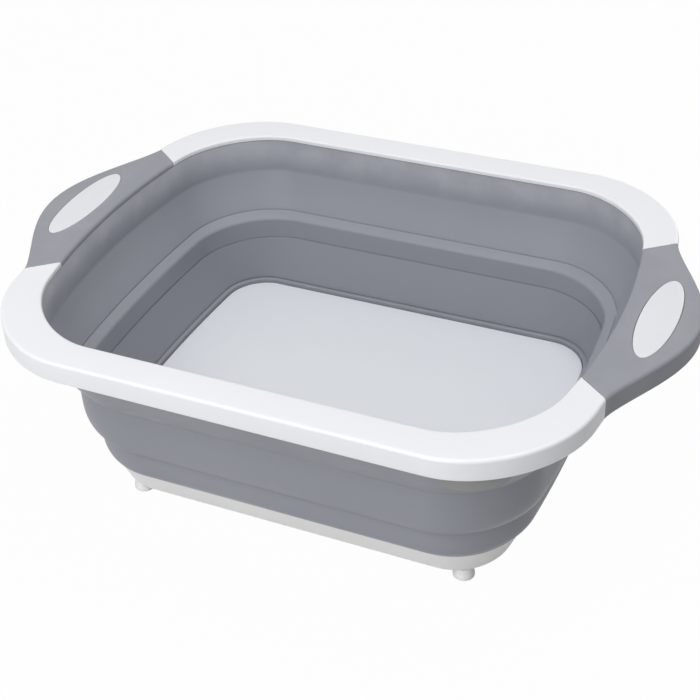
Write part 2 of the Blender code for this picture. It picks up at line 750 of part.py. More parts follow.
def make_foot(name, sign_x, sign_y, parent):
    """A round foot with a stem that plugs into the base."""
    top = FOOT_HEIGHT - GAP
    stem_top = FOOT_HEIGHT + FOOT_STEM_HEIGHT
    profile = [
        (0, stem_top),
        (FOOT_STEM_RADIUS, stem_top),
        (FOOT_STEM_RADIUS, top),
        (FOOT_RADIUS, top),
        (FOOT_RADIUS, FOOT_EDGE),
        (FOOT_RADIUS - FOOT_EDGE, 0),
        (0, 0),
    ]
    bm = turned_mesh(profile, *foot_place(sign_x, sign_y))
    add_object("foot_" + name, bm, WHITE_SHADE, parent)


def make_drain_fitting(parent):
    """The drain: a flange flush with the board's top and a tube down through the base."""
    top = level(BOARD_DEPTH)
    flange_bottom = top - DRAIN_FLANGE_THICKNESS
    edge = DRAIN_FLANGE_THICKNESS / 2
    profile = [
        (DRAIN_BORE_RADIUS, top),
        (DRAIN_FLANGE_RADIUS - edge, top),
        (DRAIN_FLANGE_RADIUS, top - edge),
        (DRAIN_FLANGE_RADIUS, flange_bottom),
        (DRAIN_TUBE_RADIUS, flange_bottom),
        (DRAIN_TUBE_RADIUS, FOOT_HEIGHT),
        (DRAIN_BORE_RADIUS, FOOT_HEIGHT),
    ]
    add_object("drain_fitting", closed_turned_mesh(profile, DRAIN_X, DRAIN_Y), WHITE_SHADE, parent)


def make_drain_plug(parent):
    """The soft plug that lifts out of the drain, with a tab to pull."""
    seat = level(BOARD_DEPTH) + GAP
    top = seat + PLUG_HEAD_THICKNESS
    head = DRAIN_BORE_RADIUS + PLUG_HEAD_LAP
    body = DRAIN_BORE_RADIUS - GAP
    profile = [
        (0, top),
        (head - PLUG_EDGE, top),
        (head, top - PLUG_EDGE),
        (head, seat),
        (body, seat),
        (body - PLUG_TAPER, seat - PLUG_BODY_DEPTH),
        (0, seat - PLUG_BODY_DEPTH),
    ]
    plug = add_object("drain_plug", turned_mesh(profile, DRAIN_X, DRAIN_Y), GREY, parent)
    half_length = PLUG_TAB_LENGTH / 2
    bm = bmesh.new()
    base = top - PLUG_EDGE
    shoulder = top + PLUG_TAB_HEIGHT - half_length
    arc = [math.pi * step / (ROUND_STEPS / 2) for step in range(ROUND_STEPS // 2 + 1)]
    sweep = [(half_length * math.cos(angle), half_length * math.sin(angle)) for angle in arc]
    outline = [(half_length, base)] + [(x, max(shoulder + z, base + PLUG_EDGE)) for x, z in sweep]
    outline.append((-half_length, base))
    near = DRAIN_Y - PLUG_TAB_WALL / 2
    face = bm.faces.new([bm.verts.new((DRAIN_X + x, near, z)) for x, z in outline])
    pushed = bmesh.ops.extrude_face_region(bm, geom=[face])
    verts = [item for item in pushed["geom"] if isinstance(item, bmesh.types.BMVert)]
    bmesh.ops.translate(bm, vec=(0, PLUG_TAB_WALL, 0), verts=verts)
    combine(plug, add_cutter("join_plug_tab", bm), "UNION")


def main():
    clear_scene()
    base = add_empty("base_body", 0)
    middle = add_empty("middle_body", level(CREASE_DEPTH), base)
    rim = add_empty("rim_body", level(LIP_DEPTH), middle)
    plug = add_empty("plug_body", level(BOARD_DEPTH), base)

    make_rim_frame(rim)
    for name, side in SIDES:
        make_grip(name, side, rim)
        make_inlay(name, side, rim)
    make_stacking_pad(rim)
    make_upper_tier(rim)
    make_middle_tier(middle)
    make_lining(base)
    make_lower_collar(base)
    make_board(base)
    make_base_tray(base)
    make_drain_fitting(base)
    make_drain_plug(plug)
    for name, sign_x, sign_y in CORNERS:
        make_foot(name, sign_x, sign_y, base)


main()
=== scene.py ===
# %% [markdown]
# # A folding dish tub, finished for the camera
#
# The frame brings the tub's bodies, its joints and a plain solid for every piece. This lesson gives
# each piece its fine shape and its surface: white plastic for the rim and the base, and soft grey
# rubber for the wall and the grips. All lengths are metres, and the tub stands on z = 0.

import math
from collections import namedtuple

import bmesh
import bpy
from mathutils import Matrix, Vector


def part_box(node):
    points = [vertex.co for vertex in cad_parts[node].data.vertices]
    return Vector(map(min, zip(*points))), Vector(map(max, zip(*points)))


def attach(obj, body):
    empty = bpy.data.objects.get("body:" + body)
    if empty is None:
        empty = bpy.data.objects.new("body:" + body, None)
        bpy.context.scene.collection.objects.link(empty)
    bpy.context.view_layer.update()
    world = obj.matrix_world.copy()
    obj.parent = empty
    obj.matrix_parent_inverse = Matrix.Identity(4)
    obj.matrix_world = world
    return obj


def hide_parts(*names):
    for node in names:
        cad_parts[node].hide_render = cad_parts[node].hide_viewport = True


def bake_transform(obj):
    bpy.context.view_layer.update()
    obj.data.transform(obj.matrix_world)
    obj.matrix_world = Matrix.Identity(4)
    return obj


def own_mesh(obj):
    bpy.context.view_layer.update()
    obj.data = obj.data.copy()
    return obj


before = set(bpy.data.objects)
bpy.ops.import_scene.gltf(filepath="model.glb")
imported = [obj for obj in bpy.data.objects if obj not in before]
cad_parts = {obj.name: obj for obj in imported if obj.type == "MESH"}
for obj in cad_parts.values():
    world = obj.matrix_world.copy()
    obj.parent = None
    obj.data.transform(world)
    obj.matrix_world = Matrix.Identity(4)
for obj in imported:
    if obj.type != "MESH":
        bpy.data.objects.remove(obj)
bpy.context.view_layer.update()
print("nodes in the frame:", len(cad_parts))

# %% [markdown]
# ## The camera
#
# The photograph was taken from in front and a little to the right, looking down into the tub. Its
# place, turn and lens were found by fitting the rim's edges, so they are written here as values. The
# camera's own axes are built from its compass angle and its height above the horizon, and a small
# roll turns the picture.

# %% Place the camera
CAMERA_AZIMUTH = math.radians(25.51)
CAMERA_ELEVATION = math.radians(35.75)
CAMERA_ROLL = math.radians(-2.81)
CAMERA_PLACE = Vector((0.2769, -0.5817, 0.5298))
LENS_MM = 73.68

towards_camera = Vector(
    (
        math.sin(CAMERA_AZIMUTH) * math.cos(CAMERA_ELEVATION),
        -math.cos(CAMERA_AZIMUTH) * math.cos(CAMERA_ELEVATION),
        math.sin(CAMERA_ELEVATION),
    )
)
level_right = Vector((math.cos(CAMERA_AZIMUTH), math.sin(CAMERA_AZIMUTH), 0))
level_up = towards_camera.cross(level_right)
picture_right = level_right * math.cos(CAMERA_ROLL) + level_up * math.sin(CAMERA_ROLL)
picture_up = level_up * math.cos(CAMERA_ROLL) - level_right * math.sin(CAMERA_ROLL)

camera = bpy.data.objects.new("camera", bpy.data.cameras.new("camera"))
bpy.context.scene.collection.objects.link(camera)
turn = Matrix((picture_right, picture_up, towards_camera)).transposed()
camera.matrix_world = Matrix.Translation(CAMERA_PLACE) @ turn.to_4x4()
camera.data.lens = LENS_MM
bpy.context.scene.camera = camera
bpy.context.scene.view_settings.view_transform = "Standard"
print("camera:", [round(value, 3) for value in camera.location], "lens", LENS_MM, "mm")

# %% [markdown]
# ## The tub's outlines
#
# Seen from above, every level of the tub is a rectangle with round corners whose short sides bow
# outwards. Four numbers describe it. The sizes come from the frame's own pieces, so the fine shapes
# lie where the solids are, and only the corner and the bow are written here.

# %% Measure the outlines on the frame
Outline = namedtuple("Outline", "half_length half_width corner bow")
GAP = 0.0003
WALL = 0.0025
BASE_LEAN = 0.0070
MM = 1000


def grown(outline, by):
    """The outline moved outwards, or inwards where the distance is negative."""
    return Outline(outline.half_length + by, outline.half_width + by, outline.corner + by, outline.bow)


def edge_of(node, inwards, corner, bow):
    """The outline that lies this far inside the outer edge of a piece of the frame."""
    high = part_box(node)[1]
    return Outline(high.x - inwards, high.y - inwards, corner, bow)


BOARD = edge_of("cutting_board", 0, corner=0.0224, bow=0.0046)
BASE_TOP = edge_of("base_tray", 0, corner=0.0360, bow=BOARD.bow)
BASE_BOTTOM = edge_of("base_tray", BASE_LEAN, corner=0.0274, bow=BOARD.bow)
BORE = edge_of("wall_fold_lining", -GAP, corner=0.0450, bow=0.0060)
BAND = edge_of("wall_middle_tier", 0, corner=0.0456, bow=0.0080)
OPENING = edge_of("wall_upper_tier", WALL, corner=0.0474, bow=0.0179)
rim_half_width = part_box("rim_frame")[1].y
rim_half_length = BOARD.half_length + rim_half_width - BOARD.half_width
RIM = Outline(rim_half_length, rim_half_width, corner=0.0577, bow=0.0143)
for name, outline in (("rim", RIM), ("opening", OPENING), ("bore", BORE), ("board", BOARD)):
    length, width = 2 * MM * outline.half_length, 2 * MM * outline.half_width
    print(name, "%.1f x %.1f mm" % (length, width))

# %% [markdown]
# ## Drawing a ring
#
# The rim and the tiers of the wall are all rings. Each is made as a draughtsperson would: choose the
# corners of its cross-section, round each of them a little, and carry that section round the tub. A
# corner is called a knot here: an outline, a height and how far its rounding reaches.

# %% Round the corners of a cross-section
Knot = namedtuple("Knot", "outline z round")
FILLET_STEPS = 6
LEAST_STEP = GAP / 10


def mix(first, second, share):
    """The knot part of the way from one to another."""
    outline = Outline(*(a + (b - a) * share for a, b in zip(first.outline, second.outline)))
    return Knot(outline, first.z + (second.z - first.z) * share, 0)


def towards(knot, other, distance):
    """A point on the way from a knot to its neighbour, at most half of the way there."""
    reach = math.hypot(other.outline.half_width - knot.outline.half_width, other.z - knot.z)
    return mix(knot, other, min(distance / reach, 0.5))


def apart(first, second):
    """Whether two levels are far enough from each other to be told apart."""
    step = math.hypot(second.outline.half_width - first.outline.half_width, second.z - first.z)
    return step > LEAST_STEP


def softened(knots, closed):
    """The cross-section with each corner turned into a short curve."""
    rows = []
    for index, knot in enumerate(knots):
        at_end = not closed and index in (0, len(knots) - 1)
        if at_end or not knot.round:
            rows.append(knot)
            continue
        start = towards(knot, knots[index - 1], knot.round)
        end = towards(knot, knots[(index + 1) % len(knots)], knot.round)
        for step in range(FILLET_STEPS + 1):
            share = step / FILLET_STEPS
            rows.append(mix(mix(start, knot, share), mix(knot, end, share), share))
    return rows[:1] + [row for before, row in zip(rows, rows[1:]) if apart(before, row)]


# %% [markdown]
# The first level of a ring starts as a rectangle. A vertex bevel rounds its corners, the straight
# sides are divided so that they can bend, and every point then moves in where the side is bowed.
# Extruding that loop and carrying each of its points to the next outline makes the surface, level by
# level, and a ring ends where it began.

# %% Carry a cross-section round the tub
CORNER_STEPS = 22
SIDE_CUTS = 19
MERGE = GAP / 30


def bowed(x, y, outline):
    """Where a point of the plain rounded rectangle goes when its short sides are bowed."""
    return x * (1 - outline.bow / outline.half_length * (y / outline.half_width) ** 2)


def draw_outline(bm, knot):
    """Draws the first level, filled with one face, and returns that face."""
    outline = knot.outline
    made = bmesh.ops.create_grid(bm, x_segments=1, y_segments=1, size=1)["verts"]
    bmesh.ops.scale(bm, vec=(outline.half_length, outline.half_width, 1), verts=made)
    bmesh.ops.translate(bm, vec=(0, 0, knot.z), verts=made)
    bmesh.ops.bevel(
        bm, geom=made, offset=outline.corner, segments=CORNER_STEPS,
        profile=0.5, affect="VERTICES", material=-1,
    )
    sides = [edge for edge in bm.edges if edge.calc_length() > outline.corner]
    bmesh.ops.subdivide_edges(bm, edges=sides, cuts=SIDE_CUTS)
    for vert in bm.verts:
        vert.co.x = bowed(vert.co.x, vert.co.y, outline)
    return bm.faces[:][0]


def carried(point, old, new):
    """The same place on the next outline: the same angle of a corner, or the same share of a side."""
    x = point.x / bowed(1, point.y, old.outline)
    y = point.y
    old_x, old_y = (half - old.outline.corner for half in old.outline[:2])
    new_x, new_y = (half - new.outline.corner for half in new.outline[:2])
    scale = new.outline.corner / old.outline.corner
    x = math.copysign(min(abs(x), old_x) * new_x / old_x + max(abs(x) - old_x, 0) * scale, x)
    y = math.copysign(min(abs(y), old_y) * new_y / old_y + max(abs(y) - old_y, 0) * scale, y)
    return Vector((bowed(x, y, new.outline), y, new.z))


def draw_levels(bm, rows):
    """Extrudes the first level through all the others, and returns the edges of the last."""
    edges = list(draw_outline(bm, rows[0]).edges)
    for before, row in zip(rows, rows[1:]):
        drawn = bmesh.ops.extrude_edge_only(bm, edges=edges)["geom"]
        verts = {item for item in drawn if isinstance(item, bmesh.types.BMVert)}
        for vert in verts:
            vert.co = carried(vert.co, before, row)
        drawn = [item for item in drawn if isinstance(item, bmesh.types.BMEdge)]
        edges = [edge for edge in drawn if verts >= set(edge.verts)]
    return edges


def ring_mesh(knots, closed=True):
    """A ring round the tub, or an open skin, from the knots of its cross-section."""
    bm = bmesh.new()
    rows = softened(knots, closed)
    draw_levels(bm, rows + rows[:1] if closed else rows)
    caps = [face for face in bm.faces if len(face.verts) > 4]
    bmesh.ops.delete(bm, geom=caps, context="FACES_ONLY")
    bmesh.ops.remove_doubles(bm, verts=bm.verts, dist=MERGE)
    bmesh.ops.recalc_face_normals(bm, faces=bm.faces)
    return bm


def slab_mesh(knots):
    """A flat body, such as the board, with a face over each end of its chain of knots."""
    bm = bmesh.new()
    edges = draw_levels(bm, softened(knots, False))
    bmesh.ops.edgeloop_fill(bm, edges=edges)
    bmesh.ops.recalc_face_normals(bm, faces=bm.faces)
    return bm


# %% [markdown]
# ## Small helpers for the other pieces
#
# A round piece is a profile that is spun once round its axis. A cutter is a flat plan that is
# extruded, taken away from a piece, and then thrown away. A cut can leave points that lie together or
# within a straight edge, so it ends with a small clean-up.

# %% Spin, extrude and cut
SPIN_STEPS = 64
SHARP = math.radians(32)
STRAIGHT = math.radians(177)


def spun_mesh(profile, place):
    """A round piece from (radius, height) pairs, about a vertical line."""
    bm = bmesh.new()
    verts = [bm.verts.new((place.x + radius, place.y, z)) for radius, z in profile]
    edges = [bm.edges.new(pair) for pair in zip(verts, verts[1:])]
    bmesh.ops.spin(
        bm, geom=verts + edges, cent=place, axis=(0, 0, 1), angle=math.tau,
        steps=SPIN_STEPS, use_merge=True,
    )
    bmesh.ops.remove_doubles(bm, verts=bm.verts, dist=MERGE)
    bmesh.ops.recalc_face_normals(bm, faces=bm.faces)
    return bm


def rounded_profile(corners):
    """(radius, height, rounding) corners, with each corner turned into a short curve."""
    points = []
    for index, (radius, z, rounding) in enumerate(corners):
        here = Vector((radius, z))
        if not rounding:
            points.append(tuple(here))
            continue
        before = Vector(corners[index - 1][:2])
        after = Vector(corners[(index + 1) % len(corners)][:2])
        start = here + (before - here).normalized() * rounding
        end = here + (after - here).normalized() * rounding
        for step in range(FILLET_STEPS + 1):
            share = step / FILLET_STEPS
            points.append(tuple(start.lerp(here, share).lerp(here.lerp(end, share), share)))
    return points


def draw_out(bm, step):
    """Extrudes the one face of a bmesh by a step, which makes a solid of it."""
    drawn = bmesh.ops.extrude_face_region(bm, geom=list(bm.faces))["geom"]
    verts = [item for item in drawn if isinstance(item, bmesh.types.BMVert)]
    bmesh.ops.translate(bm, vec=step, verts=verts)
    bmesh.ops.recalc_face_normals(bm, faces=bm.faces)


def extruded_mesh(plan, bottom, top):
    """A flat plan drawn up from one height to another."""
    bm = bmesh.new()
    bm.faces.new([bm.verts.new((x, y, bottom)) for x, y in plan])
    draw_out(bm, (0, 0, top - bottom))
    return bm


def mesh_object(name, bm):
    """Turns a bmesh into an object in the scene."""
    mesh = bpy.data.meshes.new(name)
    bm.to_mesh(mesh)
    bm.free()
    obj = bpy.data.objects.new(name, mesh)
    bpy.context.scene.collection.objects.link(obj)
    return obj


def add_boolean(obj, tool, operation):
    """Joins another object to a piece, or takes it away, with an exact boolean."""
    modifier = obj.modifiers.new(tool.name, "BOOLEAN")
    modifier.operation = operation
    modifier.solver = "EXACT"
    modifier.object = tool


def apply_modifiers(obj):
    """Makes what a piece's modifiers give its own mesh."""
    graph = bpy.context.evaluated_depsgraph_get()
    applied = bpy.data.meshes.new_from_object(obj.evaluated_get(graph))
    obj.modifiers.clear()
    obj.data = applied


def lies_on_a_line(vert):
    """True for a point within a straight edge, which a cut can leave and no face needs."""
    if len(vert.link_edges) != 2:
        return False
    first, second = [edge.other_vert(vert).co - vert.co for edge in vert.link_edges]
    return first.angle(second) > STRAIGHT


def cut_away(obj, cutters):
    """Takes each cutter out of a piece, and keeps the result as the piece's own mesh."""
    tools = []
    for index, bm in enumerate(cutters):
        tool = mesh_object("%s_cutter_%d" % (obj.name, index), bm)
        add_boolean(obj, tool, "DIFFERENCE")
        tools.append(tool)
    apply_modifiers(obj)
    bm = bmesh.new()
    bm.from_mesh(obj.data)
    bmesh.ops.remove_doubles(bm, verts=bm.verts, dist=MERGE)
    bmesh.ops.dissolve_degenerate(bm, dist=MERGE, edges=bm.edges)
    bmesh.ops.dissolve_verts(bm, verts=[vert for vert in bm.verts if lies_on_a_line(vert)])
    bm.to_mesh(obj.data)
    bm.free()
    for tool in tools:
        bpy.data.objects.remove(tool)


def dress(obj, finish, body, node):
    """Gives a piece its material and its body, and hides the plain solid that it stands for.

    A piece that lies between two bodies is given no body, so it rides on none.
    """
    obj.data.materials.clear()
    obj.data.materials.append(finish)
    obj.data.shade_smooth()
    obj.data.set_sharp_from_angle(angle=SHARP)
    if body:
        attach(obj, body)
    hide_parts(node)
    print("%s: %d faces" % (obj.name, len(obj.data.polygons)))


# %% [markdown]
# ## What moulded surfaces share
#
# Moulded plastic and rubber are never one flat colour. There is a fine grain from the mould, a broad
# and very faint mottle where the material cooled unevenly, and edges polished by use. Two node groups
# hold that, so every material can use them at its own scale. The edge mask comes from Pointiness,
# which is high where a surface is convex, broken up by noise so that the wear isn't even.

# %% Build the node groups


def new_group(name, inputs, outputs):
    """An empty node group with number sockets on both sides."""
    tree = bpy.data.node_groups.new(name, "ShaderNodeTree")
    for socket, value in inputs.items():
        made = tree.interface.new_socket(name=socket, in_out="INPUT", socket_type="NodeSocketFloat")
        made.default_value = value
    for socket in outputs:
        tree.interface.new_socket(name=socket, in_out="OUTPUT", socket_type="NodeSocketFloat")
    return tree, tree.nodes.new("NodeGroupInput"), tree.nodes.new("NodeGroupOutput")


def spread_out(tree, socket, low, high):
    """A mask from 0 to 1, as the value goes from low to high."""
    node = tree.nodes.new("ShaderNodeMapRange")
    node.inputs["From Min"].default_value = low
    node.inputs["From Max"].default_value = high
    tree.links.new(socket, node.inputs["Value"])
    return node.outputs["Result"]


def noise_on(tree, place, scale, detail):
    """Noise on the piece's own coordinates, at a scale that comes from a socket."""
    node = tree.nodes.new("ShaderNodeTexNoise")
    node.inputs["Detail"].default_value = detail
    tree.links.new(place, node.inputs["Vector"])
    tree.links.new(scale, node.inputs["Scale"])
    return node.outputs["Fac"]


mould_group, given, made = new_group(
    "mould_texture", {"Grain Scale": 900, "Mottle Scale": 14}, ("Grain", "Mottle")
)
place = mould_group.nodes.new("ShaderNodeTexCoord").outputs["Object"]
grain = noise_on(mould_group, place, given.outputs["Grain Scale"], detail=3)
mottle = noise_on(mould_group, place, given.outputs["Mottle Scale"], detail=5)
mould_group.links.new(grain, made.inputs["Grain"])
mould_group.links.new(spread_out(mould_group, mottle, low=0.34, high=0.66), made.inputs["Mottle"])

wear_group, given, made = new_group("edge_wear", {"Patch Scale": 60}, ("Wear",))
convex = wear_group.nodes.new("ShaderNodeNewGeometry").outputs["Pointiness"]
place = wear_group.nodes.new("ShaderNodeTexCoord").outputs["Object"]
patches = noise_on(wear_group, place, given.outputs["Patch Scale"], detail=4)
patches = spread_out(wear_group, patches, low=0.42, high=0.62)
both = wear_group.nodes.new("ShaderNodeMath")
both.operation = "MULTIPLY"
wear_group.links.new(spread_out(wear_group, convex, low=0.505, high=0.56), both.inputs[0])
wear_group.links.new(patches, both.inputs[1])
wear_group.links.new(both.outputs["Value"], made.inputs["Wear"])
print("node groups:", mould_group.name, wear_group.name)

# %% [markdown]
# ## One recipe, several finishes
#
# Each finish mixes two close colours by the mottle and a third where edges are worn. The mottle also
# moves the roughness a little, so highlights break up as on a real moulding, and the grain drives a
# very shallow bump.

# %% Write the recipe for a moulded finish
BUMP_DEPTH = 0.0004
PLAIN_GLOSS = 0.50
LOW_GLOSS = 0.20
MIX_SHARE, MIX_FIRST, MIX_SECOND, MIX_COLOUR = 0, 6, 7, 2


def mixed_colour(tree, share, first, second):
    """A colour that goes from the first to the second as the share rises.

    The mix node has a set of sockets for each kind of value, so its colour ones are named above.
    """
    node = tree.nodes.new("ShaderNodeMix")
    node.data_type = "RGBA"
    tree.links.new(share, node.inputs[MIX_SHARE])
    for socket, colour in ((node.inputs[MIX_FIRST], first), (node.inputs[MIX_SECOND], second)):
        if isinstance(colour, bpy.types.NodeSocket):
            tree.links.new(colour, socket)
        else:
            socket.default_value = (*colour, 1)
    return node.outputs[MIX_COLOUR]


def moulded(name, colours, roughness, grain_scale, mottle_scale, bump, gloss=PLAIN_GLOSS):
    """A moulded material from its two main colours, its worn colour and its range of roughness."""
    material = bpy.data.materials.new(name)
    material.use_nodes = True
    tree = material.node_tree
    shader = tree.nodes["Principled BSDF"]
    shader.inputs["Metallic"].default_value = 0
    shader.inputs["Specular IOR Level"].default_value = gloss
    texture = tree.nodes.new("ShaderNodeGroup")
    texture.node_tree = mould_group
    texture.inputs["Grain Scale"].default_value = grain_scale
    texture.inputs["Mottle Scale"].default_value = mottle_scale
    wear = tree.nodes.new("ShaderNodeGroup")
    wear.node_tree = wear_group
    main, shade, worn = colours
    mottled = mixed_colour(tree, texture.outputs["Mottle"], main, shade)
    tree.links.new(mixed_colour(tree, wear.outputs["Wear"], mottled, worn), shader.inputs["Base Color"])
    rough = tree.nodes.new("ShaderNodeMapRange")
    rough.inputs["To Min"].default_value, rough.inputs["To Max"].default_value = roughness
    tree.links.new(texture.outputs["Mottle"], rough.inputs["Value"])
    tree.links.new(rough.outputs["Result"], shader.inputs["Roughness"])
    relief = tree.nodes.new("ShaderNodeBump")
    relief.inputs["Strength"].default_value = bump
    relief.inputs["Distance"].default_value = BUMP_DEPTH
    tree.links.new(texture.outputs["Grain"], relief.inputs["Height"])
    tree.links.new(relief.outputs["Normal"], shader.inputs["Normal"])
    return material


# %% [markdown]
# ## The finishes
#
# The rim is satin polypropylene, a clean and slightly cool white, and the ovals are a shade darker. The
# base and feet are the same plastic with a duller face. The pad under the rim is white plastic as well,
# but its colour is a dark grey: painted shade for the shadow that the rim casts on it. The board is
# matt so that food doesn't slide. The wall is a smooth thermoplastic rubber with little gloss, and the
# grips are the same rubber with a matt grain for a wet hand.

# %% Mix the finishes
RIM_COLOURS = ((0.820, 0.825, 0.855), (0.805, 0.810, 0.840), (0.85, 0.855, 0.88))
OVAL_COLOURS = ((0.735, 0.747, 0.784), (0.716, 0.728, 0.764), (0.77, 0.78, 0.81))
BASE_COLOURS = ((0.900, 0.903, 0.895), (0.880, 0.884, 0.876), (0.91, 0.91, 0.91))
# The pad's dark grey is painted shade: its white plastic darkened for the rim's shadow.
PAD_SHADE_COLOURS = ((0.290, 0.290, 0.285), (0.277, 0.277, 0.272), (0.33, 0.33, 0.325))
BOARD_COLOURS = ((0.765, 0.786, 0.822), (0.750, 0.772, 0.808), (0.80, 0.82, 0.85))
WALL_COLOURS = ((0.300, 0.311, 0.348), (0.294, 0.305, 0.342), (0.330, 0.341, 0.374))
GRIP_COLOURS = ((0.302, 0.312, 0.344), (0.294, 0.304, 0.336), (0.334, 0.344, 0.374))

# After its colours, each row gives the range of roughness, the scales of grain and mottle, and the
# bump's strength. The pad and the rubber ones also reflect less.
rim_white = moulded("rim_plastic", RIM_COLOURS, (0.30, 0.40), 1400, 9, 0.05)
oval_white = moulded("oval_plastic", OVAL_COLOURS, (0.32, 0.42), 1400, 20, 0.05)
# The pad's finish is painted shade, a dark grey for its white plastic under the rim.
pad_shade_finish = moulded("pad_plastic_painted_shade", PAD_SHADE_COLOURS, (0.50, 0.60), 1100, 20, 0.10, LOW_GLOSS)
base_white = moulded("base_plastic", BASE_COLOURS, (0.42, 0.52), 1100, 12, 0.10)
board_white = moulded("board_plastic", BOARD_COLOURS, (0.46, 0.56), 1700, 16, 0.12)
wall_grey = moulded("wall_rubber", WALL_COLOURS, (0.36, 0.48), 1300, 18, 0.07, LOW_GLOSS)
grip_grey = moulded("grip_rubber", GRIP_COLOURS, (0.50, 0.62), 1500, 24, 0.16, LOW_GLOSS)
plug_grey = moulded("plug_rubber", WALL_COLOURS, (0.42, 0.54), 1300, 30, 0.10, LOW_GLOSS)
print("finishes:", len(bpy.data.materials))

# %% [markdown]
# ## The soft wall, upper fold
#
# On the real tub the wall is one piece of rubber. Its upper part hangs straight from the rim to a
# crease, and then slopes in as a flap that turns over when the rim is pushed down. It is made as an
# open skin, the surface that is seen inside the tub, with a Solidify modifier for its thickness.

# %% Make the upper skin
rim_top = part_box("rim_frame")[1].z
upper_low, upper_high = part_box("wall_upper_tier")
CREASE_DEPTH = 0.0230
LIP_DROP = 0.0011
SKIN_THICKNESS = 0.0021
HOLLOW = 0.0010
LIP_COVER = 0.0001

lip_outline = grown(BAND, LIP_COVER)
crease_z = rim_top - CREASE_DEPTH
lip_z = upper_low.z + LIP_DROP
crease = Knot(OPENING, crease_z, round=0.0012)
lip = Knot(lip_outline, lip_z, round=0.0006)
hollow = mix(crease, lip, 0.5)
hollow = Knot(grown(hollow.outline, HOLLOW), hollow.z, round=0.0070)
knots = [Knot(OPENING, upper_high.z, 0), crease, hollow, lip, Knot(lip_outline, upper_low.z, 0)]
bm = ring_mesh(knots, closed=False)
bm.faces.ensure_lookup_table()
outward = max(bm.faces, key=lambda face: face.calc_center_median().x)
if outward.normal.x > 0:
    bmesh.ops.reverse_faces(bm, faces=bm.faces)
upper_skin = mesh_object("wall_upper_skin", bm)
thicken = upper_skin.modifiers.new("thickness", "SOLIDIFY")
thicken.thickness = SKIN_THICKNESS
thicken.offset = -1  # all of it behind the drawn side
thicken.use_even_offset = True
dress(upper_skin, wall_grey, None, "wall_upper_tier")
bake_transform(upper_skin)

# %% [markdown]
# ## The soft wall, middle band
#
# The middle band is the thick part of the wall. Inside it makes a narrow ledge and a steep step, and
# outside it is a rounded belly that runs in to the lower crease. It keeps its shape when the tub is
# folded, so it is a closed ring that rides on the middle body.

# %% Make the middle band
band_low, band_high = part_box("wall_middle_tier")
CREASE_WALL = 0.0017
LEDGE_FALL = 0.0028
BELLY_DEPTH = 0.0227
BELLY_ROUND = 0.0030
BELLY = ((0.45, 0.18), (0.78, 0.55))
belly_top = band_high.z - BELLY_DEPTH
crease_outer = grown(BORE, CREASE_WALL)

# Each row of the belly is a share of the way down to the crease and a share of the way in to it.
knots = [Knot(BAND, band_high.z, round=0.0003), Knot(BAND, belly_top, round=0.0045)]
top_knot = Knot(BAND, belly_top, 0)
low_knot = Knot(crease_outer, band_low.z, 0)
for down, inwards in BELLY:
    along = mix(top_knot, low_knot, inwards)
    knots.append(Knot(along.outline, belly_top + (band_low.z - belly_top) * down, BELLY_ROUND))
knots += [
    Knot(crease_outer, band_low.z, round=0.0007),
    Knot(BORE, band_low.z, round=0.0005),
    Knot(BORE, band_high.z - LEDGE_FALL, round=0.0016),
]
middle_band = mesh_object("wall_middle_band", ring_mesh(knots))
dress(middle_band, wall_grey, "middle", "wall_middle_tier")

# %% [markdown]
# ## The soft wall, lower fold and lower band
#
# Below the step the wall slopes in to the floor as a second flap. When the middle band drops, that
# flap is pressed flat on the lower band. The lower band grips the base and ends in the narrow ledge
# round the board.

# %% Make the lower fold
fold_low, fold_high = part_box("wall_fold_lining")
SHELF_WIDTH = 0.0024
FOLD_THICKNESS = 0.0020
FOLD_SEAT = 0.0057
shelf_z = fold_low.z - GAP
fold_head = grown(BORE, -GAP)
fold_foot = grown(BOARD, SHELF_WIDTH)

lower_fold = mesh_object(
    "wall_lower_fold",
    ring_mesh(
        [
            Knot(fold_head, fold_high.z, round=0.0009),
            Knot(fold_foot, fold_low.z, round=0.0004),
            Knot(grown(fold_foot, FOLD_THICKNESS), fold_low.z, round=0),
            Knot(fold_head, fold_high.z - FOLD_SEAT, round=0.0009),
        ]
    ),
)
dress(lower_fold, wall_grey, "base", "wall_fold_lining")
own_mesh(lower_fold)

# %% Make the lower band
collar_low, collar_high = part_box("wall_lower_collar")
SLIDE_GAP = 0.0004
FOLD_GAP = 0.0005
UPRIGHT_DEPTH = 0.0129
SHOULDER_IN = 0.28
SHOULDER_DOWN = 0.50
EDGE_WALL = 0.0015
EDGE_STEP = 0.0012
band_top = grown(BORE, -SLIDE_GAP)
band_foot = grown(BASE_TOP, GAP)
upright_z = collar_high.z - UPRIGHT_DEPTH
shoulder = mix(Knot(band_top, upright_z, 0), Knot(band_foot, collar_low.z, 0), SHOULDER_IN)
shoulder_z = upright_z + (collar_low.z - upright_z) * SHOULDER_DOWN
lower_band = mesh_object(
    "wall_lower_band",
    ring_mesh(
        [
            Knot(band_top, collar_high.z, round=0.0005),
            Knot(band_top, upright_z, round=0.0030),
            Knot(shoulder.outline, shoulder_z, round=0.0030),
            Knot(band_foot, collar_low.z, round=0.0006),
            Knot(grown(BOARD, GAP), collar_low.z, round=0),
            Knot(grown(BOARD, GAP), shelf_z, round=0.0006),
            Knot(grown(fold_foot, FOLD_THICKNESS + FOLD_GAP), shelf_z, round=0),
            Knot(grown(band_top, -EDGE_WALL), collar_high.z - EDGE_STEP, round=0.0003),
        ]
    ),
)
dress(lower_band, wall_grey, "base", "wall_lower_collar")

# %% [markdown]
# ## The rim
#
# The rim is a stiff channel: a flat top, a skirt round the outside and a short collar inside that the
# rubber is moulded onto. At each end the grip takes the place of its top and skirt, so two cutters
# open it there along slanted lines.

